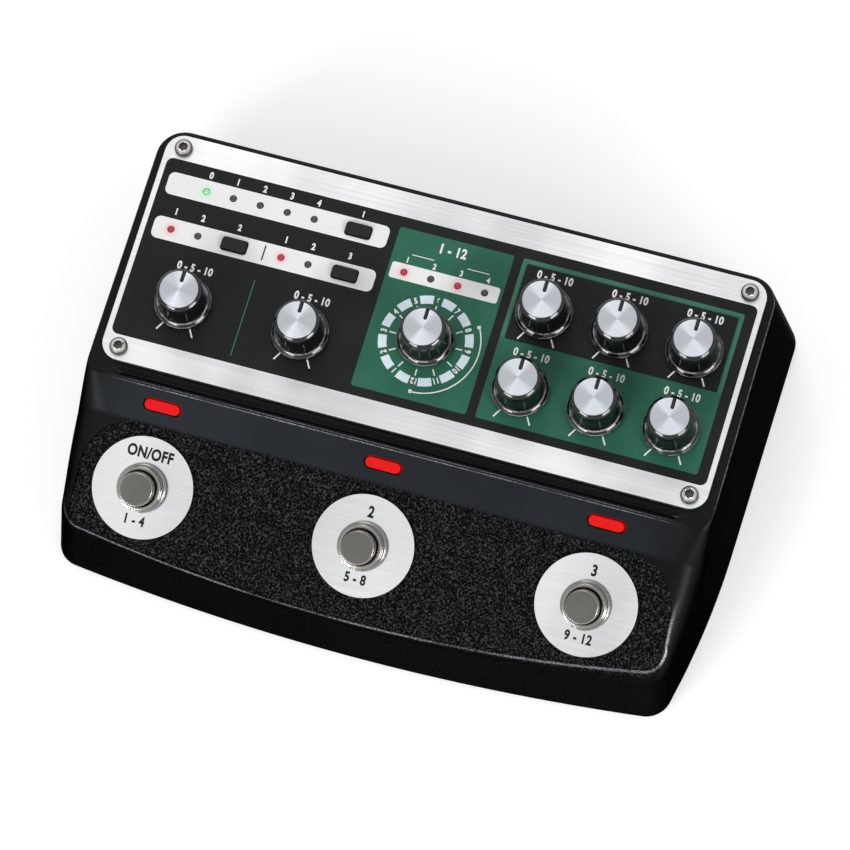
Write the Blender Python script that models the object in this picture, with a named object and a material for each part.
"""Delay pedal with nine knobs, three foot switches and three small panel buttons.

Metres, +Z up. The pedal stands on Z = 0 and its box is centred on the origin, with +X along
its length and -Y towards the player. Local frames carry the sloping faces: X along the pedal,
Y up the slope, Z square out of the face.
"""
import math

import bmesh
import bpy
import numpy as np

# Overall sizes
WIDTH = 0.1920
DEPTH = 0.1330
HEIGHT = 0.0580
GAP = 0.0003
OVERRUN = 0.0080

# Case
WALL = 0.0025
BASE_HEIGHT = 0.0020
SIDE_DRAFT = math.radians(5.1)
REAR_DRAFT = math.radians(8.5)
FRONT_LEAN = math.radians(17.7)
REAR_CORNER_RADIUS = 0.0082
FRONT_CORNER_RADIUS = 0.0075
FRONT_BOW_RADIUS = 0.7000
SIDE_BOW_RADIUS = 0.2500
PANEL_EDGE_RADIUS = 0.0010
SHOULDER_RADIUS = 0.0060
DECK_EDGE_RADIUS = 0.0020

# Sloping faces: the runs and falls behind their slopes, and the margins round the panel plate
PANEL_SLOPE = math.radians(3.5)
FACE_FALL_SHARE = 0.1002
DECK_FALL_SHARE = 0.1327
PANEL_REAR_MARGIN = 0.0084
PANEL_FRONT_MARGIN = 0.0041
FACE_RUN_SHARE = 0.0699
SWITCH_ROW_SETBACK_SHARE = 0.1241
SIDE_BOW_SETBACK_SHARE = 0.2256

# Groove between the panel and the lamp face
GROOVE_WIDTH = 0.0011
GROOVE_DEPTH = 0.0010
GROOVE_SETBACK = 0.0008
GROOVE_END_MARGIN = 0.0060

# Panel plate
PLATE_THICKNESS = 0.0010
PLATE_SIDE_MARGIN = 0.0064
PLATE_DEPTH_SHARE = 0.5278
PLATE_CORNER_RADIUS = 0.0054
PLATE_SCREW_INSET_X = 0.0051
PLATE_SCREW_INSET_Y = 0.0039

# Screws
SCREW_SHANK_RADIUS = 0.0013
PLATE_SCREW_HEAD_RADIUS = 0.0026
PLATE_SCREW_HEAD_HEIGHT = 0.0015
COVER_SCREW_HEAD_RADIUS = 0.0027
COVER_SCREW_HEAD_HEIGHT = 0.0012
COVER_SCREW_LENGTH = 0.0090
HEX_SOCKET_RADIUS = 0.0012
HEX_SOCKET_DEPTH = 0.0008

# Knobs and their shafts
KNOB_RISE = 0.01225
KNOB_FOOT = 0.0010
KNOB_SKIRT_RADIUS = 0.00825
KNOB_SKIRT_HEIGHT = 0.0014
KNOB_WAIST_RADIUS = 0.0067
KNOB_WAIST_HEIGHT = 0.0025
KNOB_TOP_RADIUS = 0.0061
KNOB_EDGE = 0.0004
KNOB_ROOF = 0.0035
SHAFT_RADIUS = 0.0030
KNOB_LEFT_INSET = 0.0192
KNOB_LEFT_PITCH_SHARE = 0.1828
KNOB_RIGHT_INSET = 0.0153
KNOB_RIGHT_PITCH_SHARE = 0.1156
KNOB_FRONT_ROW_SHARE = 0.1053
KNOB_REAR_ROW_SHARE = 0.0752
SELECTOR_OFFSET_X = 0.0003
SELECTOR_OFFSET_Y_SHARE = 0.0504

# Small lamps and buttons on the panel
LAMP_RADIUS = 0.0010
LAMP_SPACER_RADIUS = 0.0016
LAMP_SPACER_DROP = 0.0042
LAMP_PITCH_SHARE = 0.0422
BANK_ROW_Y_SHARE = 0.1519
BANK_INSET = 0.0154
BANK_COUNT = 5
MODE_ROW_Y_SHARE = 0.0496
MODE_INSET = 0.0089
MODE_PAIR_SPACING_SHARE = 0.1724
HEAD_ROW_Y_SHARE = 0.0865
HEAD_PITCH_SHARE = 0.0417
HEAD_COUNT = 4
BUTTON_WIDTH = 0.0073
BUTTON_DEPTH = 0.0037
BUTTON_RISE = 0.0008
BUTTON_TRAVEL = 0.0005
BUTTON_FLANGE = 0.0007
BUTTON_FLANGE_THICKNESS = 0.0008
BUTTON_STEM_RADIUS = 0.0015
BUTTON_PITCH_SHARE = 0.1724
BUTTON_INSET_SHARE = 0.3182
SLOT_WIDTH = 0.0058
LAMP_SLOT_WIDTH = 0.0044

# Control board
POT_CLEARANCE = 0.0034
BOARD_THICKNESS = 0.0016
BOARD_SIDE_MARGIN = 0.0086
BOARD_FRONT_REACH_SHARE = 0.2406
BOARD_REAR_REACH_SHARE = 0.1917
SOLDER_SINK = 0.0002
POT_WIDTH = 0.0096
POT_HEIGHT = 0.0068
POT_WELL = 0.0055
TACT_WIDTH = 0.0060
TACT_HEIGHT = 0.0045
TACT_GRIP = 0.0012
STANDOFF_RADIUS = 0.0025
STANDOFF_MARGIN = 0.0111
STANDOFF_FRONT_REACH_SHARE = 0.203
STANDOFF_LEFT_REACH_SHARE = 0.1015
STANDOFF_RIGHT_REACH_SHARE = 0.1654
BOSS_RADIUS = 0.0036
BOSS_CLEARANCE = 0.0045
BOSS_FLOOR = 0.0020

# Foot switches
SWITCH_OFFSET_X = 0.0020
SWITCH_PITCH_SHARE = 0.3427
LABEL_MARGIN = 0.00346
LABEL_THICKNESS = 0.0009
COLLAR_RADIUS = 0.00715
COLLAR_RISE = 0.0046
COLLAR_LIP = 0.0014
COLLAR_EDGE = 0.0010
BUSHING_RADIUS = 0.0061
PLUNGER_RADIUS = 0.00495
PLUNGER_RISE = 0.0098
PLUNGER_DEPTH_SHARE = 0.466
PLUNGER_EDGE = 0.0006
PLUNGER_TRAVEL = 0.0022
HOUSING_WIDTH = 0.0165
HOUSING_FLOOR_CLEARANCE = 0.0020

# Status lenses and their board
LENS_WIDTH = 0.0109
LENS_DEPTH = 0.0033
LENS_RISE = 0.0004
LENS_FLANGE = 0.0008
LENS_FLANGE_THICKNESS = 0.0010
LENS_FLANGE_DROP = 0.0037
LENS_LAMP_WIDTH = 0.0040
LENS_LAMP_DEPTH = 0.0030
LAMP_BOARD_DROP = 0.0073
LAMP_BOARD_THICKNESS = 0.0012
LAMP_BOARD_DEPTH = 0.0075
LAMP_BOARD_REACH = 0.0060

# Jacks, sockets and their board
BAY_SETBACK = 0.0051
BAY_END_INSET = 0.0160
BAY_UNDER_SHARE = 0.583
BAY_TOP_MARGIN = 0.0115
JACK_SIZE = 0.0120
JACK_LENGTH = 0.0200
JACK_BUSHING_RADIUS = 0.0046
JACK_BORE_RADIUS = 0.0032
JACK_BORE_MARGIN = 0.0015
JACK_BUSHING_REACH = 0.0048
JACK_UNDER_SHARE = 0.691
JACK_PITCH_SHARE = 0.0833
JACK_END_INSET = 0.0255
NUT_ACROSS = 0.0130
NUT_THICKNESS = 0.0024
SMALL_SOCKET_X_SHARE = 0.0885
SMALL_SOCKET_PITCH_SHARE = 0.0599
SMALL_SOCKET_WIDTH = 0.0080
SMALL_SOCKET_RADIUS = 0.0028
SMALL_SOCKET_BORE = 0.0018
SMALL_SOCKET_LENGTH = 0.0120
USB_WIDTH = 0.0076
USB_HEIGHT = 0.0030
USB_MOUTH_WIDTH = 0.0064
USB_MOUTH_HEIGHT = 0.0018
INLET_X_SHARE = 0.0911
INLET_RADIUS = 0.0042
INLET_BORE_RADIUS = 0.0029
INLET_PIN_RADIUS = 0.0010
JACK_BOARD_THICKNESS = 0.0016
JACK_BOARD_END_INSET = 0.0185

# Bottom cover and feet
COVER_THICKNESS = 0.0012
COVER_LEDGE = 0.0012
COVER_RAISE = 0.0004
COLUMN_RADIUS = 0.0050
COLUMN_REAR_INSET_X = 0.0125
COLUMN_FRONT_INSET_X = 0.0100
COLUMN_REAR_INSET = 0.0115
COLUMN_FRONT_INSET = 0.0165
FOOT_RADIUS = 0.0080
FOOT_EDGE = 0.0006
FOOT_SCREW_CLEARANCE = 0.0016
FOOT_INSET_Y = 0.0170

# Pitches, rows, runs and falls that follow the overall sizes
KNOB_LEFT_PITCH = KNOB_LEFT_PITCH_SHARE * WIDTH
KNOB_RIGHT_PITCH = KNOB_RIGHT_PITCH_SHARE * WIDTH
LAMP_PITCH = LAMP_PITCH_SHARE * WIDTH
MODE_PAIR_SPACING = MODE_PAIR_SPACING_SHARE * WIDTH
HEAD_PITCH = HEAD_PITCH_SHARE * WIDTH
BUTTON_PITCH = BUTTON_PITCH_SHARE * WIDTH
BUTTON_INSET = BUTTON_INSET_SHARE * WIDTH
SWITCH_PITCH = SWITCH_PITCH_SHARE * WIDTH
JACK_PITCH = JACK_PITCH_SHARE * WIDTH
SMALL_SOCKET_X = SMALL_SOCKET_X_SHARE * WIDTH
SMALL_SOCKET_PITCH = SMALL_SOCKET_PITCH_SHARE * WIDTH
INLET_X = INLET_X_SHARE * WIDTH
FACE_RUN = FACE_RUN_SHARE * DEPTH
SWITCH_ROW_SETBACK = SWITCH_ROW_SETBACK_SHARE * DEPTH
SIDE_BOW_SETBACK = SIDE_BOW_SETBACK_SHARE * DEPTH
PLATE_DEPTH = PLATE_DEPTH_SHARE * DEPTH
KNOB_FRONT_ROW = KNOB_FRONT_ROW_SHARE * DEPTH
KNOB_REAR_ROW = KNOB_REAR_ROW_SHARE * DEPTH
SELECTOR_OFFSET_Y = SELECTOR_OFFSET_Y_SHARE * DEPTH
BANK_ROW_Y = BANK_ROW_Y_SHARE * DEPTH
MODE_ROW_Y = MODE_ROW_Y_SHARE * DEPTH
HEAD_ROW_Y = HEAD_ROW_Y_SHARE * DEPTH
BOARD_FRONT_REACH = BOARD_FRONT_REACH_SHARE * DEPTH
BOARD_REAR_REACH = BOARD_REAR_REACH_SHARE * DEPTH
STANDOFF_FRONT_REACH = STANDOFF_FRONT_REACH_SHARE * DEPTH
STANDOFF_LEFT_REACH = STANDOFF_LEFT_REACH_SHARE * DEPTH
STANDOFF_RIGHT_REACH = STANDOFF_RIGHT_REACH_SHARE * DEPTH
FACE_FALL = FACE_FALL_SHARE * HEIGHT
DECK_FALL = DECK_FALL_SHARE * HEIGHT

# Sizes and places that fit between the others
FACE_SLOPE = math.atan(FACE_FALL / FACE_RUN)
DECK_SLOPE = math.atan(DECK_FALL / SWITCH_ROW_SETBACK)
PANEL_SETBACK = PLATE_DEPTH / 2 + PANEL_REAR_MARGIN
FACE_SETBACK = PLATE_DEPTH / 2 + PANEL_FRONT_MARGIN
PANEL_Y = DEPTH / 2 - PANEL_SETBACK
PANEL_Z = (HEIGHT - KNOB_RISE * math.cos(PANEL_SLOPE)
           - (KNOB_REAR_ROW + KNOB_TOP_RADIUS - KNOB_EDGE) * math.sin(PANEL_SLOPE))
FACE_TOP_Y = PANEL_Y - FACE_SETBACK
DECK_TOP_Y = FACE_TOP_Y - FACE_RUN
SWITCH_ROW_Y = DECK_TOP_Y - SWITCH_ROW_SETBACK
SIDE_BOW_Y = PANEL_Y - SIDE_BOW_SETBACK
BODY_DROP = PLATE_THICKNESS + GAP
BOARD_DROP = BODY_DROP + WALL + POT_CLEARANCE + POT_HEIGHT
BOSS_DROP = BOARD_DROP - BOSS_CLEARANCE
PLATE_SCREW_LENGTH = BOSS_DROP - BOSS_FLOOR
LABEL_RADIUS = SWITCH_ROW_SETBACK / math.cos(DECK_SLOPE) - LABEL_MARGIN
COVER_LOW = BASE_HEIGHT + COVER_RAISE
COVER_HIGH = COVER_LOW + COVER_THICKNESS
LEDGE_HEIGHT = COVER_HIGH + GAP
PLATE_WIDTH = WIDTH - 2 * PLATE_SIDE_MARGIN
PLATE_HALF = PLATE_WIDTH / 2
BAY_Y = DEPTH / 2 - BAY_SETBACK
INNER_REAR_Y = BAY_Y - WALL
SWITCH_PLACES = tuple(step * SWITCH_PITCH - SWITCH_OFFSET_X for step in (-1, 0, 1))

# Counts of flats and points that make the round forms
ROUND_STEPS = 16
SMALL_STEPS = 12
TINY_STEPS = 8
DISC_STEPS = 32
FOOT_STEPS = 20
REAR_CORNER_POINTS = 7
FRONT_CORNER_POINTS = 6
FRONT_BOW_POINTS = 5
BOW_START_SHARE = 0.8
SETTLING_ROUNDS = 12
SMOOTH_ANGLE = math.radians(32)


def body_top(y):
    """Height of the case's top at y: the panel, then the steeper lamp face, then the deck."""
    y = np.asarray(y, float)
    panel = PANEL_Z - BODY_DROP / math.cos(PANEL_SLOPE) + (y - PANEL_Y) * math.tan(PANEL_SLOPE)
    bend = PANEL_Z - BODY_DROP / math.cos(PANEL_SLOPE) + (FACE_TOP_Y - PANEL_Y) * math.tan(PANEL_SLOPE)
    face = bend + (y - FACE_TOP_Y) * math.tan(FACE_SLOPE)
    deck = bend - FACE_RUN * math.tan(FACE_SLOPE) + (y - DECK_TOP_Y) * math.tan(DECK_SLOPE)
    return np.minimum(panel, np.maximum(face, deck))


def half_outline(height, inset):
    """Right half of the case's outline at a height, from the rear corner to the front centre."""
    rise = height - BASE_HEIGHT
    half = WIDTH / 2 - rise * math.tan(SIDE_DRAFT)
    rear = DEPTH / 2 - rise * math.tan(REAR_DRAFT)
    front = -DEPTH / 2 + rise * math.tan(FRONT_LEAN)
    side_x = half - SIDE_BOW_RADIUS
    side_radius = SIDE_BOW_RADIUS - inset
    bow_y = front + FRONT_BOW_RADIUS
    bow_radius = FRONT_BOW_RADIUS - inset

    radius = REAR_CORNER_RADIUS - inset
    turn = np.linspace(math.pi / 2, 0, REAR_CORNER_POINTS)
    centre_x = half - REAR_CORNER_RADIUS
    centre_y = rear - REAR_CORNER_RADIUS
    rear_corner = np.column_stack((centre_x + radius * np.cos(turn), centre_y + radius * np.sin(turn)))

    sides = np.array([SIDE_BOW_Y, FACE_TOP_Y + GAP, FACE_TOP_Y, (FACE_TOP_Y + DECK_TOP_Y) / 2, DECK_TOP_Y,
                      (2 * DECK_TOP_Y + SWITCH_ROW_Y) / 3, (DECK_TOP_Y + 2 * SWITCH_ROW_Y) / 3])
    side = np.column_stack((side_x + np.sqrt(side_radius ** 2 - (sides - SIDE_BOW_Y) ** 2), sides))

    radius = FRONT_CORNER_RADIUS - inset
    centre_y = front + FRONT_CORNER_RADIUS
    for _ in range(SETTLING_ROUNDS):
        centre_x = side_x + math.sqrt((side_radius - radius) ** 2 - (centre_y - SIDE_BOW_Y) ** 2)
        centre_y = bow_y - math.sqrt((bow_radius - radius) ** 2 - centre_x ** 2)
    start = math.atan2(centre_y - SIDE_BOW_Y, centre_x - side_x)
    end = math.atan2(centre_y - bow_y, centre_x)
    turn = np.linspace(start, end, FRONT_CORNER_POINTS)
    front_corner = np.column_stack((centre_x + radius * np.cos(turn), centre_y + radius * np.sin(turn)))

    across = front_corner[-1, 0] * np.linspace(BOW_START_SHARE, 0, FRONT_BOW_POINTS)
    bow = np.column_stack((across, bow_y - np.sqrt(bow_radius ** 2 - across ** 2)))
    return np.vstack((rear_corner, side, front_corner, bow))


def whole_ring(half):
    """Right half and its mirror image as one loop."""
    left = half[-2::-1] * np.array([-1, 1])
    return np.vstack((half, left))


def ring_normals(ring):
    """Outward directions of a loop in plan."""
    along = np.roll(ring, -1, axis=0) - np.roll(ring, 1, axis=0)
    out = np.column_stack((-along[:, 1], along[:, 0]))
    return out / np.linalg.norm(out, axis=1)[:, None]


def wall_ring(height, inset):
    """Loop of the drafted wall; the height may differ from point to point."""
    low = whole_ring(half_outline(BASE_HEIGHT, inset))
    high = whole_ring(half_outline(BASE_HEIGHT + DECK_EDGE_RADIUS, inset))
    slope = (high - low) / DECK_EDGE_RADIUS
    heights = np.broadcast_to(height, len(low))
    return np.column_stack((low + slope * (heights - BASE_HEIGHT)[:, None], heights))


def edge_radius(y):
    """Rounding of the top edge: crisp at the panel, widest at the shoulder, tight at the front."""
    places = (-DEPTH / 2, SWITCH_ROW_Y, DECK_TOP_Y, FACE_TOP_Y, FACE_TOP_Y + SHOULDER_RADIUS / 2)
    radii = (DECK_EDGE_RADIUS, DECK_EDGE_RADIUS, SHOULDER_RADIUS, SHOULDER_RADIUS / 2, PANEL_EDGE_RADIUS)
    return np.interp(y, places, radii)


def case_mesh(inset, drop, low, rounded):
    """Closed solid of the case's outer form, or of its hollow where inset and drop are set."""
    rim = np.full(len(wall_ring(low, inset)), BASE_HEIGHT)
    for _ in range(SETTLING_ROUNDS):
        rim = body_top(wall_ring(rim, inset)[:, 1]) - drop
    corner = wall_ring(rim, inset)
    rings = [wall_ring(low, inset)]
    if rounded:
        radius = edge_radius(corner[:, 1])
        under = wall_ring(rim - radius, inset)
        plan = corner[:, :2] - ring_normals(corner[:, :2]) * radius[:, None]
        over = np.column_stack((plan, body_top(plan[:, 1]) - drop))
        for share in (0, 1 / 3, 2 / 3, 1):
            rings.append((1 - share) ** 2 * under + 2 * share * (1 - share) * corner + share ** 2 * over)
    else:
        rings.append(corner)
    count = len(corner)
    last = (len(rings) - 1) * count
    middle = (count - 1) // 2
    faces = [list(range(count))]
    for level in range(len(rings) - 1):
        for place in range(count):
            beside = (place + 1) % count
            faces.append([level * count + place, level * count + beside,
                          (level + 1) * count + beside, (level + 1) * count + place])
    for place in range(middle - 1):
        faces.append([last + place, last + place + 1, last + 2 * middle - place - 1, last + 2 * middle - place])
    faces.append([last + middle - 1, last + middle, last + middle + 1])
    return closed_mesh(np.vstack(rings), faces)


def closed_mesh(points, faces):
    """Mesh with its faces pointing out."""
    mesh = bpy.data.meshes.new("shape")
    mesh.from_pydata([tuple(map(float, point)) for point in points], [], faces)
    work = bmesh.new()
    work.from_mesh(mesh)
    bmesh.ops.recalc_face_normals(work, faces=work.faces)
    work.to_mesh(mesh)
    work.free()
    return mesh


def joined_mesh(meshes):
    """One mesh that holds separate closed shapes, for a cutter or a union."""
    work = bmesh.new()
    for mesh in meshes:
        work.from_mesh(mesh)
    whole = bpy.data.meshes.new("shapes")
    work.to_mesh(whole)
    work.free()
    return whole


def prism(outline, low, high, place=(0, 0)):
    """Outline in X and Y carried from low to high."""
    outline = np.asarray(outline, float) + np.asarray(place, float)
    count = len(outline)
    points = np.vstack((np.column_stack((outline, np.full(count, low))),
                        np.column_stack((outline, np.full(count, high)))))
    sides = [[n, (n + 1) % count, count + (n + 1) % count, count + n] for n in range(count)]
    return closed_mesh(points, sides + [list(range(count)), list(range(count, 2 * count))])


def turned(profile, steps, place=(0, 0)):
    """Profile of (radius, height) pairs turned about Z; radius zero closes on the axis."""
    points = []
    rows = []
    for radius, height in profile:
        if radius == 0:
            rows.append([len(points)])
            points.append((place[0], place[1], height))
        else:
            rows.append(list(range(len(points), len(points) + steps)))
            turn = np.arange(steps) * math.tau / steps
            points += [(place[0] + radius * math.cos(a), place[1] + radius * math.sin(a), height) for a in turn]
    faces = []
    closed = profile[0][0] != 0
    for n in range(len(rows) if closed else len(rows) - 1):
        low, high = rows[n], rows[(n + 1) % len(rows)]
        for k in range(steps):
            corners = [low[k % len(low)], low[(k + 1) % len(low)], high[(k + 1) % len(high)], high[k % len(high)]]
            faces.append(list(dict.fromkeys(corners)))
    return closed_mesh(points, faces)


def circle(radius, steps=ROUND_STEPS):
    """Points round a circle."""
    turn = (np.arange(steps) + 0.5) * math.tau / steps
    return np.column_stack((radius * np.cos(turn), radius * np.sin(turn)))


def rectangle(width, depth):
    """Corners of a rectangle about its centre."""
    return np.array([(-1, -1), (1, -1), (1, 1), (-1, 1)]) * np.array([width, depth]) / 2


def rounded_rectangle(width, depth, radius, steps=5):
    """Rectangle whose corners are arcs; a radius of half the depth gives round ends."""
    points = []
    for quarter, (sx, sy) in enumerate(((1, 1), (-1, 1), (-1, -1), (1, -1))):
        turn = quarter * math.pi / 2 + np.linspace(0, math.pi / 2, steps)
        points.append(np.column_stack((sx * (width / 2 - radius) + radius * np.cos(turn),
                                       sy * (depth / 2 - radius) + radius * np.sin(turn))))
    outline = np.vstack(points)
    fresh = np.linalg.norm(outline - np.roll(outline, 1, axis=0), axis=1) > radius / 1000
    return outline[fresh]


def finish(name, mesh, colour, roughness, metallic=0.0, parent=None, place=(0, 0, 0), turn=(0, 0, 0)):
    """Named object with its own material, set in its parent's frame."""
    piece = bpy.data.objects.new(name, mesh)
    bpy.context.collection.objects.link(piece)
    piece.parent = parent
    piece.location = place
    piece.rotation_euler = turn
    material = bpy.data.materials.new(name)
    material.use_nodes = True
    shader = material.node_tree.nodes["Principled BSDF"]
    shader.inputs["Base Color"].default_value = (*colour, 1)
    shader.inputs["Roughness"].default_value = roughness
    shader.inputs["Metallic"].default_value = metallic
    mesh.materials.clear()
    mesh.materials.append(material)
    mesh.shade_smooth()
    mesh.set_sharp_from_angle(angle=SMOOTH_ANGLE)
    return piece


def guide(name, mesh, parent=None, place=(0, 0, 0), turn=(0, 0, 0)):
    """Hidden shape that only cuts or joins another."""
    shape = bpy.data.objects.new(name, mesh)
    bpy.context.collection.objects.link(shape)
    shape.parent = parent
    shape.location = place
    shape.rotation_euler = turn
    shape.hide_render = True
    shape.display_type = "WIRE"
    return shape


def boolean(piece, other, operation="DIFFERENCE"):
    """Boolean modifier with the exact solver."""
    modifier = piece.modifiers.new(other.name, "BOOLEAN")
    modifier.object = other
    modifier.operation = operation
    modifier.solver = "EXACT"


def frame(name, place, slope):
    """Empty that carries a sloping face's pieces."""
    empty = bpy.data.objects.new(name, None)
    bpy.context.collection.objects.link(empty)
    empty.location = place
    empty.rotation_euler = (slope, 0, 0)
    return empty


def knob_places():
    """Name and place on the panel of each knob, left to right."""
    left = -PLATE_HALF + KNOB_LEFT_INSET
    right = PLATE_HALF - KNOB_RIGHT_INSET
    places = {"knob_drive": (left, -KNOB_FRONT_ROW),
              "knob_flutter": (left + KNOB_LEFT_PITCH, -KNOB_FRONT_ROW),
              "knob_selector": (-SELECTOR_OFFSET_X, -SELECTOR_OFFSET_Y)}
    for column, names in enumerate((("bass", "rate"), ("treble", "repeats"), ("reverb", "level"))):
        x = right - (2 - column) * KNOB_RIGHT_PITCH
        places["knob_" + names[0]] = (x, KNOB_REAR_ROW)
        places["knob_" + names[1]] = (x, -KNOB_FRONT_ROW)
    return places


def lamp_places():
    """Centres of the small panel lamps, row by row."""
    bank = [(-PLATE_HALF + BANK_INSET + n * LAMP_PITCH, BANK_ROW_Y) for n in range(BANK_COUNT)]
    mode = [(-PLATE_HALF + MODE_INSET + pair * MODE_PAIR_SPACING + n * LAMP_PITCH, MODE_ROW_Y)
            for pair in range(2) for n in range(2)]
    head = [((n - (HEAD_COUNT - 1) / 2) * HEAD_PITCH - SELECTOR_OFFSET_X, HEAD_ROW_Y) for n in range(HEAD_COUNT)]
    return bank, mode, head


def button_places():
    """Names and centres of the three panel buttons."""
    right = -PLATE_HALF + BUTTON_INSET
    return {"button_memory": (right, BANK_ROW_Y), "button_input": (right - BUTTON_PITCH, MODE_ROW_Y),
            "button_tape": (right, MODE_ROW_Y)}


def plate_screw_places():
    """Corners of the panel plate where its screws sit."""
    x = PLATE_HALF - PLATE_SCREW_INSET_X
    y = PLATE_DEPTH / 2 - PLATE_SCREW_INSET_Y
    return ((-x, y), (x, y), (-x, -y), (x, -y))


def column_places():
    """Centres of the four columns that take the cover's screws."""
    rear_x = WIDTH / 2 - COLUMN_REAR_INSET_X
    rear = DEPTH / 2 - COLUMN_REAR_INSET
    front = -DEPTH / 2 + COLUMN_FRONT_INSET
    narrowing = SIDE_BOW_RADIUS - math.sqrt(SIDE_BOW_RADIUS ** 2 - (front - SIDE_BOW_Y) ** 2)
    front_x = WIDTH / 2 - narrowing - COLUMN_FRONT_INSET_X
    return ((-rear_x, rear), (rear_x, rear), (-front_x, front), (front_x, front))


def jack_places():
    """Centres of the quarter-inch jacks along the rear, and of the smaller sockets."""
    end = WIDTH / 2 - JACK_END_INSET
    jacks = (-end, -end + JACK_PITCH, end - 2 * JACK_PITCH, end - JACK_PITCH, end)
    small = (SMALL_SOCKET_X, SMALL_SOCKET_X - SMALL_SOCKET_PITCH)
    return jacks, small


def jack_height():
    """Height of the jacks' axes, between the cover and the control board at their front ends."""
    along = (INNER_REAR_Y - JACK_LENGTH - PANEL_Y) * math.tan(PANEL_SLOPE)
    board = PANEL_Z + along - (BOARD_DROP + BOARD_THICKNESS) / math.cos(PANEL_SLOPE)
    spare = board - COVER_HIGH - JACK_SIZE - JACK_BOARD_THICKNESS
    return COVER_HIGH + JACK_UNDER_SHARE * spare + JACK_BOARD_THICKNESS + JACK_SIZE / 2


def top_cutters():
    """Openings under the panel plate, in the panel's frame."""
    low, high = -BOSS_DROP + GAP, OVERRUN
    shapes = [prism(circle(SHAFT_RADIUS + 2 * GAP), low, high, place) for place in knob_places().values()]
    bank, mode, head = lamp_places()
    buttons = button_places()
    for row in (bank, mode):
        left = row[0][0] - SLOT_WIDTH / 2
        right = buttons["button_memory"][0] + BUTTON_WIDTH / 2 + BUTTON_FLANGE + GAP
        shapes.append(prism(rectangle(right - left, SLOT_WIDTH), low, high, ((left + right) / 2, row[0][1])))
    span = (HEAD_COUNT - 1) * HEAD_PITCH + LAMP_SLOT_WIDTH
    shapes.append(prism(rectangle(span, LAMP_SLOT_WIDTH), low, high, (-SELECTOR_OFFSET_X, HEAD_ROW_Y)))
    depth = -PLATE_SCREW_LENGTH - GAP
    for place in plate_screw_places():
        shapes.append(prism(circle(SCREW_SHANK_RADIUS + GAP, SMALL_STEPS), depth, high, place))
    groove = rounded_rectangle(PLATE_WIDTH - 2 * GROOVE_END_MARGIN, GROOVE_WIDTH, GROOVE_WIDTH / 2)
    run = FACE_SETBACK / math.cos(PANEL_SLOPE) - GROOVE_SETBACK
    shapes.append(prism(groove, -BODY_DROP - GROOVE_DEPTH, high, (0, -run)))
    return joined_mesh(shapes)


def bay_cutters():
    """Flat bay in the rear wall and the jacks' holes through it, each along Y."""
    axis = jack_height()
    top = PANEL_Z - BAY_TOP_MARGIN
    nut_low = axis - NUT_ACROSS / math.sqrt(3)
    low = LEDGE_HEIGHT + BAY_UNDER_SHARE * (nut_low - LEDGE_HEIGHT)
    opening = rectangle(WIDTH - 2 * BAY_END_INSET, top - low)
    bay = prism(opening, -OVERRUN - BAY_Y, -BAY_Y, (0, (top + low) / 2))
    jacks, small = jack_places()
    low, high = -BAY_Y - GAP, -BAY_Y + OVERRUN
    holes = [prism(circle(JACK_BUSHING_RADIUS + GAP), low, high, (x, axis)) for x in jacks]
    holes += [prism(circle(SMALL_SOCKET_RADIUS + GAP, SMALL_STEPS), low, high, (x, axis)) for x in small]
    usb = rectangle(USB_WIDTH + 2 * GAP, USB_HEIGHT + 2 * GAP)
    holes.append(prism(usb, low, high, (SMALL_SOCKET_X - 2 * SMALL_SOCKET_PITCH, axis)))
    holes.append(prism(circle(INLET_RADIUS + GAP), low, high, (-INLET_X, axis)))
    return bay, joined_mesh(holes)


def columns_and_bosses(panel, face):
    """Posts left standing in the hollow: cover columns, screw bosses and board standoffs."""
    tall = HEIGHT + OVERRUN
    columns = guide("columns", joined_mesh([prism(circle(COLUMN_RADIUS), -OVERRUN, tall, place)
                                            for place in column_places()]))
    side = PLATE_HALF - STANDOFF_MARGIN
    posts = [prism(circle(BOSS_RADIUS, SMALL_STEPS), -BOSS_DROP, 0, place) for place in plate_screw_places()[2:]]
    for place in ((-side, -STANDOFF_FRONT_REACH), (side, -STANDOFF_FRONT_REACH),
                  (-side, STANDOFF_LEFT_REACH), (side, STANDOFF_RIGHT_REACH)):
        posts.append(prism(circle(STANDOFF_RADIUS, SMALL_STEPS), -BOARD_DROP + GAP, 0, place))
    bosses = guide("bosses", joined_mesh(posts), panel)
    lamp_posts = [prism(circle(STANDOFF_RADIUS, SMALL_STEPS), -LAMP_BOARD_DROP + GAP, 0, (x, 0))
                  for x in lamp_post_places()]
    lamp_bosses = guide("lamp_bosses", joined_mesh(lamp_posts), face)
    return columns, bosses, lamp_bosses


def lamp_post_places():
    """Standoffs of the lamp board, half-way between the lenses."""
    return [(SWITCH_PLACES[n] + SWITCH_PLACES[n + 1]) / 2 for n in range(2)]


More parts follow.
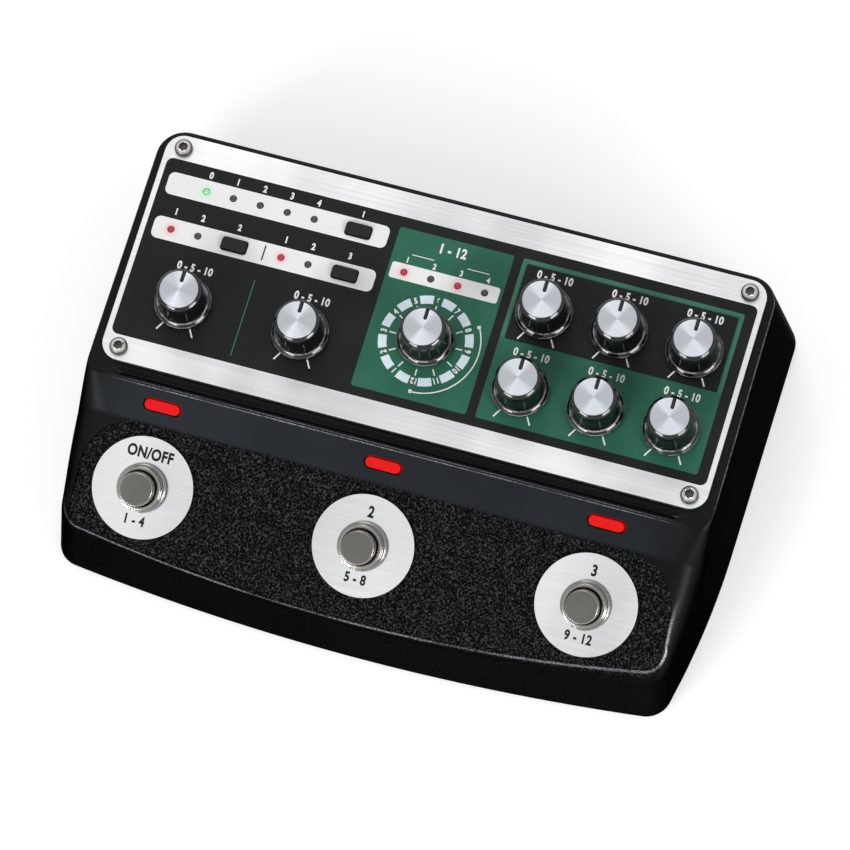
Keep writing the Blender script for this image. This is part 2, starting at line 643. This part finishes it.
def enclosure(panel, face, deck):
    """Cast case: five closed sides with drafted walls, open below, with posts inside."""
    case = finish("enclosure", case_mesh(0, 0, BASE_HEIGHT, True), (0.02, 0.022, 0.027), 0.42, 0.1)
    hollow = guide("hollow", case_mesh(WALL, WALL / math.cos(DECK_SLOPE), -OVERRUN, False))
    land = prism(rectangle(2 * WIDTH, DEPTH), -OVERRUN - HEIGHT, 2 * HEIGHT, (0, INNER_REAR_Y + DEPTH / 2))
    boolean(hollow, guide("rear_land", land))
    for posts in columns_and_bosses(panel, face):
        boolean(hollow, posts)
    boolean(case, hollow)
    ledge = whole_ring(half_outline(BASE_HEIGHT, COVER_LEDGE))
    boolean(case, guide("cover_ledge", prism(ledge, -OVERRUN, LEDGE_HEIGHT)))
    boolean(case, guide("top_openings", top_cutters(), panel))
    bay, holes = bay_cutters()
    upright = (math.pi / 2, 0, 0)
    boolean(case, guide("jack_bay", bay, turn=upright))
    boolean(case, guide("jack_holes", holes, turn=upright))
    hole = circle(BUSHING_RADIUS + GAP)
    holes = joined_mesh([prism(hole, -OVERRUN, OVERRUN, (x, 0)) for x in SWITCH_PLACES])
    boolean(case, guide("switch_holes", holes, deck))
    slot = rounded_rectangle(LENS_WIDTH + 2 * GAP, LENS_DEPTH + 2 * GAP, LENS_DEPTH / 2 + GAP)
    slots = joined_mesh([prism(slot, -LENS_FLANGE_DROP, OVERRUN, (x, 0)) for x in SWITCH_PLACES])
    boolean(case, guide("lens_slots", slots, face))
    screws = [prism(circle(SCREW_SHANK_RADIUS + GAP, SMALL_STEPS), -OVERRUN,
                    COVER_LOW - GAP + COVER_SCREW_LENGTH + GAP, place) for place in column_places()]
    boolean(case, guide("cover_screw_holes", joined_mesh(screws)))


def bottom_cover():
    """Steel plate let into the case's lower rim."""
    outline = whole_ring(half_outline(BASE_HEIGHT, COVER_LEDGE + GAP))
    cover = finish("bottom_cover", prism(outline, COVER_LOW, COVER_HIGH), (0.03, 0.03, 0.032), 0.5, 0.4)
    holes = [prism(circle(SCREW_SHANK_RADIUS + GAP, SMALL_STEPS), -OVERRUN, OVERRUN, place)
             for place in column_places()]
    boolean(cover, guide("cover_holes", joined_mesh(holes)))


def panel_plate(panel):
    """Aluminium plate with holes for shafts, lamps, buttons and screws."""
    outline = rounded_rectangle(PLATE_WIDTH, PLATE_DEPTH, PLATE_CORNER_RADIUS, 7)
    plate = finish("panel_plate", prism(outline, -PLATE_THICKNESS, 0), (0.6, 0.61, 0.62), 0.3, 1.0, panel)
    low, high = -OVERRUN, OVERRUN
    shapes = [prism(circle(SHAFT_RADIUS + 2 * GAP), low, high, place) for place in knob_places().values()]
    for row in lamp_places():
        shapes += [prism(circle(LAMP_RADIUS + GAP, TINY_STEPS), low, high, place) for place in row]
    hole = rectangle(BUTTON_WIDTH + 2 * GAP, BUTTON_DEPTH + 2 * GAP)
    shapes += [prism(hole, low, high, place) for place in button_places().values()]
    shapes += [prism(circle(SCREW_SHANK_RADIUS + GAP, SMALL_STEPS), low, high, place)
               for place in plate_screw_places()]
    boolean(plate, guide("plate_holes", joined_mesh(shapes), panel))


def panel_screws(panel):
    """Domed screws with hexagon sockets at the plate's corners."""
    top = GAP + PLATE_SCREW_HEAD_HEIGHT
    profile = ((0, -PLATE_SCREW_LENGTH), (SCREW_SHANK_RADIUS, -PLATE_SCREW_LENGTH), (SCREW_SHANK_RADIUS, GAP),
               (PLATE_SCREW_HEAD_RADIUS, GAP), (PLATE_SCREW_HEAD_RADIUS, GAP + PLATE_SCREW_HEAD_HEIGHT / 2),
               (1.5 * HEX_SOCKET_RADIUS, top), (HEX_SOCKET_RADIUS, top), (HEX_SOCKET_RADIUS, top - HEX_SOCKET_DEPTH),
               (0, top - HEX_SOCKET_DEPTH))
    for n, place in enumerate(plate_screw_places()):
        finish(f"panel_screw_{n + 1}", turned(profile, SMALL_STEPS), (0.6, 0.6, 0.6), 0.25, 1.0, panel, (*place, 0))


def cover_screws():
    """Pan-head screws that hold the bottom cover."""
    high = COVER_LOW - GAP
    low = high - COVER_SCREW_HEAD_HEIGHT
    profile = ((0, high + COVER_SCREW_LENGTH), (SCREW_SHANK_RADIUS, high + COVER_SCREW_LENGTH),
               (SCREW_SHANK_RADIUS, high), (COVER_SCREW_HEAD_RADIUS, high),
               (COVER_SCREW_HEAD_RADIUS, low + COVER_SCREW_HEAD_HEIGHT / 3), (1.5 * HEX_SOCKET_RADIUS, low),
               (HEX_SOCKET_RADIUS, low), (HEX_SOCKET_RADIUS, low + HEX_SOCKET_DEPTH), (0, low + HEX_SOCKET_DEPTH))
    for n, place in enumerate(column_places()):
        finish(f"cover_screw_{n + 1}", turned(profile, SMALL_STEPS), (0.05, 0.05, 0.05), 0.4, 0.8, place=(*place, 0))


def foot_places():
    """Centres of the feet, each beside the cover's screw at its corner."""
    apart = COVER_SCREW_HEAD_RADIUS + FOOT_RADIUS + FOOT_SCREW_CLEARANCE
    y = DEPTH / 2 - FOOT_INSET_Y
    return [(x - math.copysign(apart, x), math.copysign(y, column_y)) for x, column_y in column_places()]


def rubber_feet():
    """Four round feet under the cover."""
    high = COVER_LOW - GAP
    profile = ((0, 0), (FOOT_RADIUS - FOOT_EDGE, 0), (FOOT_RADIUS, FOOT_EDGE), (FOOT_RADIUS, high), (0, high))
    for n, place in enumerate(foot_places()):
        finish(f"rubber_foot_{n + 1}", turned(profile, FOOT_STEPS), (0.02, 0.02, 0.02), 0.9, place=(*place, 0))


def knobs(panel):
    """Knobs with a flared skirt, each on the shaft that it turns."""
    waist = KNOB_FOOT + KNOB_SKIRT_HEIGHT + KNOB_WAIST_HEIGHT
    bore = SHAFT_RADIUS + GAP
    profile = ((0, KNOB_RISE - KNOB_ROOF), (bore, KNOB_RISE - KNOB_ROOF), (bore, KNOB_FOOT),
               (KNOB_SKIRT_RADIUS, KNOB_FOOT), (KNOB_SKIRT_RADIUS, KNOB_FOOT + KNOB_SKIRT_HEIGHT),
               (KNOB_WAIST_RADIUS, waist), (KNOB_TOP_RADIUS, KNOB_RISE - KNOB_EDGE),
               (KNOB_TOP_RADIUS - KNOB_EDGE, KNOB_RISE), (0, KNOB_RISE))
    foot = -BOARD_DROP + POT_HEIGHT - POT_WELL + GAP
    head = KNOB_RISE - KNOB_ROOF - GAP
    rod = ((0, foot), (SHAFT_RADIUS, foot), (SHAFT_RADIUS, head), (0, head))
    for name, place in knob_places().items():
        finish(name, turned(profile, ROUND_STEPS), (0.012, 0.012, 0.012), 0.2, parent=panel, place=(*place, 0))
        finish(name.replace("knob", "shaft"), turned(rod, SMALL_STEPS), (0.55, 0.55, 0.56), 0.35, 1.0,
               panel, (*place, 0))


def panel_buttons(panel):
    """Small oblong buttons with a flange under the plate and a stem to their switch."""
    high = -BODY_DROP
    low = high - BUTTON_FLANGE_THICKNESS
    end = -BOARD_DROP + TACT_HEIGHT - TACT_GRIP
    for name, place in button_places().items():
        cap = prism(rounded_rectangle(BUTTON_WIDTH, BUTTON_DEPTH, BUTTON_FLANGE), (low + high) / 2, BUTTON_RISE)
        button = finish(name, cap, (0.015, 0.015, 0.015), 0.4, parent=panel, place=(*place, 0))
        flange = prism(rectangle(BUTTON_WIDTH + 2 * BUTTON_FLANGE, BUTTON_DEPTH + 2 * BUTTON_FLANGE), low, high)
        stem = prism(circle(BUTTON_STEM_RADIUS, SMALL_STEPS), end, (low + high) / 2)
        boolean(button, guide(name + "_flange", flange, panel, (*place, 0)), "UNION")
        boolean(button, guide(name + "_stem", stem, panel, (*place, 0)), "UNION")


def control_board(panel):
    """Circuit board under the panel with its pots, selector, push switches and small lamps."""
    half = PLATE_HALF - BOARD_SIDE_MARGIN
    top = -BOARD_DROP
    sheet = rectangle(2 * half, BOARD_FRONT_REACH + BOARD_REAR_REACH)
    middle = (BOARD_REAR_REACH - BOARD_FRONT_REACH) / 2
    board = finish("control_board", prism(sheet, top - BOARD_THICKNESS, top, (0, middle)),
                   (0.02, 0.12, 0.05), 0.5, parent=panel)
    sunk = top - SOLDER_SINK
    wells = []
    parts = []
    for place in knob_places().values():
        parts.append(prism(rectangle(POT_WIDTH, POT_WIDTH), sunk, top + POT_HEIGHT, place))
        wells.append(prism(circle(SHAFT_RADIUS + GAP), top + POT_HEIGHT - POT_WELL, OVERRUN, place))
    for place in button_places().values():
        parts.append(prism(rectangle(TACT_WIDTH, TACT_WIDTH), sunk, top + TACT_HEIGHT, place))
        floor = top + TACT_HEIGHT - TACT_GRIP - BUTTON_TRAVEL - GAP
        wells.append(prism(circle(BUTTON_STEM_RADIUS + GAP, SMALL_STEPS), floor, OVERRUN, place))
    lamp = ((0, sunk), (LAMP_SPACER_RADIUS, sunk), (LAMP_SPACER_RADIUS, -LAMP_SPACER_DROP),
            (LAMP_RADIUS, -LAMP_SPACER_DROP), (LAMP_RADIUS, 0), (0, 0))
    for row in lamp_places():
        parts += [turned(lamp, TINY_STEPS, place) for place in row]
    boolean(board, guide("board_parts", joined_mesh(parts), panel), "UNION")
    boolean(board, guide("board_wells", joined_mesh(wells), panel))


def housing_depth():
    """How far a switch housing reaches below the deck, square to it, before it meets the cover."""
    room = float(body_top(SWITCH_ROW_Y)) - COVER_HIGH - HOUSING_FLOOR_CLEARANCE
    return (room - HOUSING_WIDTH / 2 * math.sin(DECK_SLOPE)) / math.cos(DECK_SLOPE)


def foot_switches(deck):
    """Label disc, collar, threaded housing and sprung plunger of each foot switch."""
    label_top = GAP + LABEL_THICKNESS
    collar_low = label_top + GAP
    collar_top = collar_low + COLLAR_RISE
    thread_bore = BUSHING_RADIUS + GAP
    lip_bore = PLUNGER_RADIUS + GAP
    collar = ((thread_bore, collar_low), (COLLAR_RADIUS, collar_low), (COLLAR_RADIUS, collar_top - COLLAR_EDGE),
              (COLLAR_RADIUS - COLLAR_EDGE, collar_top), (lip_bore, collar_top), (lip_bore, collar_top - COLLAR_LIP),
              (thread_bore, collar_top - COLLAR_LIP))
    tail = -PLUNGER_DEPTH_SHARE * housing_depth()
    plunger = ((0, tail), (PLUNGER_RADIUS, tail), (PLUNGER_RADIUS, PLUNGER_RISE - PLUNGER_EDGE),
               (PLUNGER_RADIUS - PLUNGER_EDGE, PLUNGER_RISE), (0, PLUNGER_RISE))
    roof = -WALL - GAP
    floor = -housing_depth()
    thread = prism(circle(BUSHING_RADIUS), roof - OVERRUN / 2, collar_top - COLLAR_LIP - GAP)
    well = prism(circle(lip_bore), tail - PLUNGER_TRAVEL - GAP, OVERRUN)
    for n, x in enumerate(SWITCH_PLACES):
        place = (x, 0, 0)
        disc = prism(circle(LABEL_RADIUS, DISC_STEPS), GAP, label_top)
        label = finish(f"switch_label_{n + 1}", disc, (0.7, 0.7, 0.7), 0.3, 1.0, deck, place)
        opening = prism(circle(thread_bore), -OVERRUN, OVERRUN)
        boolean(label, guide(f"label_hole_{n + 1}", opening, deck, place))
        finish(f"switch_collar_{n + 1}", turned(collar, ROUND_STEPS), (0.65, 0.64, 0.62), 0.2, 1.0, deck, place)
        box = prism(rectangle(HOUSING_WIDTH, HOUSING_WIDTH), floor, roof)
        housing = finish(f"switch_housing_{n + 1}", box, (0.1, 0.1, 0.11), 0.5, 0.3, deck, place)
        boolean(housing, guide(f"thread_{n + 1}", thread, deck, place), "UNION")
        boolean(housing, guide(f"well_{n + 1}", well, deck, place))
        finish(f"switch_plunger_{n + 1}", turned(plunger, ROUND_STEPS), (0.6, 0.59, 0.57), 0.2, 1.0, deck, place)


def status_lenses(face):
    """Red light guides in the lamp face, held by a flange inside."""
    high = -LENS_FLANGE_DROP
    low = high - LENS_FLANGE_THICKNESS
    bar = prism(rounded_rectangle(LENS_WIDTH, LENS_DEPTH, LENS_DEPTH / 2), (low + high) / 2, LENS_RISE)
    wide = rectangle(LENS_WIDTH + 2 * LENS_FLANGE, LENS_DEPTH + 2 * LENS_FLANGE)
    flange = prism(wide, low, high)
    for n, x in enumerate(SWITCH_PLACES):
        lens = finish(f"status_lens_{n + 1}", bar.copy(), (0.9, 0.02, 0.02), 0.2, parent=face, place=(x, 0, 0))
        boolean(lens, guide(f"lens_flange_{n + 1}", flange, face, (x, 0, 0)), "UNION")


def lamp_board(face):
    """Narrow board behind the lamp face with one lamp under each lens."""
    top = -LAMP_BOARD_DROP
    length = 2 * SWITCH_PITCH + LENS_WIDTH + 2 * LAMP_BOARD_REACH
    sheet = prism(rectangle(length, LAMP_BOARD_DEPTH), top - LAMP_BOARD_THICKNESS, top, (-SWITCH_OFFSET_X, 0))
    board = finish("lamp_board", sheet, (0.02, 0.12, 0.05), 0.5, parent=face)
    high = -LENS_FLANGE_DROP - LENS_FLANGE_THICKNESS - GAP
    lamps = [prism(rectangle(LENS_LAMP_WIDTH, LENS_LAMP_DEPTH), top - SOLDER_SINK, high, (x, 0))
             for x in SWITCH_PLACES]
    boolean(board, guide("lamp_blocks", joined_mesh(lamps), face), "UNION")


def socket_block(x, width, length):
    """Plastic body of a jack or socket at x, standing on the jack board."""
    inside = -INNER_REAR_Y + GAP
    shape = rectangle(width, JACK_SIZE + SOLDER_SINK)
    return prism(shape, inside + SOLDER_SINK, inside + length, (x, jack_height() - SOLDER_SINK / 2))


def jack_board():
    """Board inside the rear wall with the jacks, small sockets and power inlet soldered on."""
    upright = (math.pi / 2, 0, 0)
    axis = jack_height()
    floor = axis - JACK_SIZE / 2
    inside = -INNER_REAR_Y + GAP
    outside = -BAY_Y
    sheet = rectangle(WIDTH - 2 * JACK_BOARD_END_INSET, JACK_BOARD_THICKNESS)
    middle = floor - JACK_BOARD_THICKNESS / 2
    board = finish("jack_board", prism(sheet, inside, inside + JACK_LENGTH, (0, middle)), (0.02, 0.12, 0.05), 0.5,
                   turn=upright)
    jacks, small = jack_places()
    blocks = []
    threads = []
    bores = []
    for x in jacks:
        blocks.append(socket_block(x, JACK_SIZE, JACK_LENGTH - SOLDER_SINK))
        threads.append(prism(circle(JACK_BUSHING_RADIUS), outside - JACK_BUSHING_REACH, inside + WALL, (x, axis)))
        end = inside + JACK_LENGTH - JACK_BORE_MARGIN
        bores.append(prism(circle(JACK_BORE_RADIUS, SMALL_STEPS), outside - OVERRUN, end, (x, axis)))
    for x in small:
        blocks.append(socket_block(x, SMALL_SOCKET_WIDTH, SMALL_SOCKET_LENGTH))
        threads.append(prism(circle(SMALL_SOCKET_RADIUS, SMALL_STEPS), outside, inside + WALL, (x, axis)))
        end = inside + SMALL_SOCKET_LENGTH - JACK_BORE_MARGIN
        bores.append(prism(circle(SMALL_SOCKET_BORE, TINY_STEPS), outside - OVERRUN, end, (x, axis)))
    x = SMALL_SOCKET_X - 2 * SMALL_SOCKET_PITCH
    blocks.append(socket_block(x, SMALL_SOCKET_WIDTH, SMALL_SOCKET_LENGTH))
    threads.append(prism(rectangle(USB_WIDTH, USB_HEIGHT), outside, inside + WALL, (x, axis)))
    bores.append(prism(rectangle(USB_MOUTH_WIDTH, USB_MOUTH_HEIGHT), outside - OVERRUN, inside + WALL, (x, axis)))
    blocks.append(socket_block(-INLET_X, JACK_SIZE - JACK_BORE_MARGIN, SMALL_SOCKET_LENGTH))
    threads.append(prism(circle(INLET_RADIUS), outside, inside + WALL, (-INLET_X, axis)))
    end = inside + SMALL_SOCKET_LENGTH - JACK_BORE_MARGIN
    bores.append(ring_prism(INLET_BORE_RADIUS, INLET_PIN_RADIUS, outside - OVERRUN, end, (-INLET_X, axis)))
    boolean(board, guide("jack_blocks", joined_mesh(blocks), turn=upright), "UNION")
    boolean(board, guide("jack_threads", joined_mesh(threads), turn=upright), "UNION")
    boolean(board, guide("jack_bores", joined_mesh(bores), turn=upright))


def ring_prism(outer, inner, low, high, place):
    """Tube that cuts a round well and leaves its middle pin, a little shorter than the well's mouth."""
    tip = -BAY_Y + JACK_BORE_MARGIN
    profile = ((0, low), (outer, low), (outer, high), (inner, high), (inner, tip), (0, tip))
    return turned(profile, SMALL_STEPS, place)


def jack_nuts():
    """Hexagon nuts that hold the jacks to the rear wall."""
    jacks, _ = jack_places()
    turn = (np.arange(6) + 0.5) * math.tau / 6
    hexagon = NUT_ACROSS / math.sqrt(3) * np.column_stack((np.cos(turn), np.sin(turn)))
    near = -BAY_Y - GAP
    opening = prism(circle(JACK_BUSHING_RADIUS + GAP), near - OVERRUN, near + OVERRUN)
    upright = (math.pi / 2, 0, 0)
    for n, x in enumerate(jacks):
        place = (x, 0, jack_height())
        nut = finish(f"jack_nut_{n + 1}", prism(hexagon, near - NUT_THICKNESS, near), (0.6, 0.6, 0.6), 0.25, 1.0,
                     place=place, turn=upright)
        boolean(nut, guide(f"nut_hole_{n + 1}", opening, place=place, turn=upright))


def main():
    """Clears the file and builds the pedal."""
    for leftover in list(bpy.data.objects):
        bpy.data.objects.remove(leftover)
    panel = frame("panel_frame", (0, PANEL_Y, PANEL_Z), PANEL_SLOPE)
    face_y = (FACE_TOP_Y + DECK_TOP_Y) / 2
    face = frame("face_frame", (0, face_y, float(body_top(face_y))), FACE_SLOPE)
    deck = frame("deck_frame", (0, SWITCH_ROW_Y, float(body_top(SWITCH_ROW_Y))), DECK_SLOPE)
    enclosure(panel, face, deck)
    bottom_cover()
    panel_plate(panel)
    panel_screws(panel)
    cover_screws()
    rubber_feet()
    knobs(panel)
    panel_buttons(panel)
    control_board(panel)
    foot_switches(deck)
    status_lenses(face)
    lamp_board(face)
    jack_board()
    jack_nuts()


main()
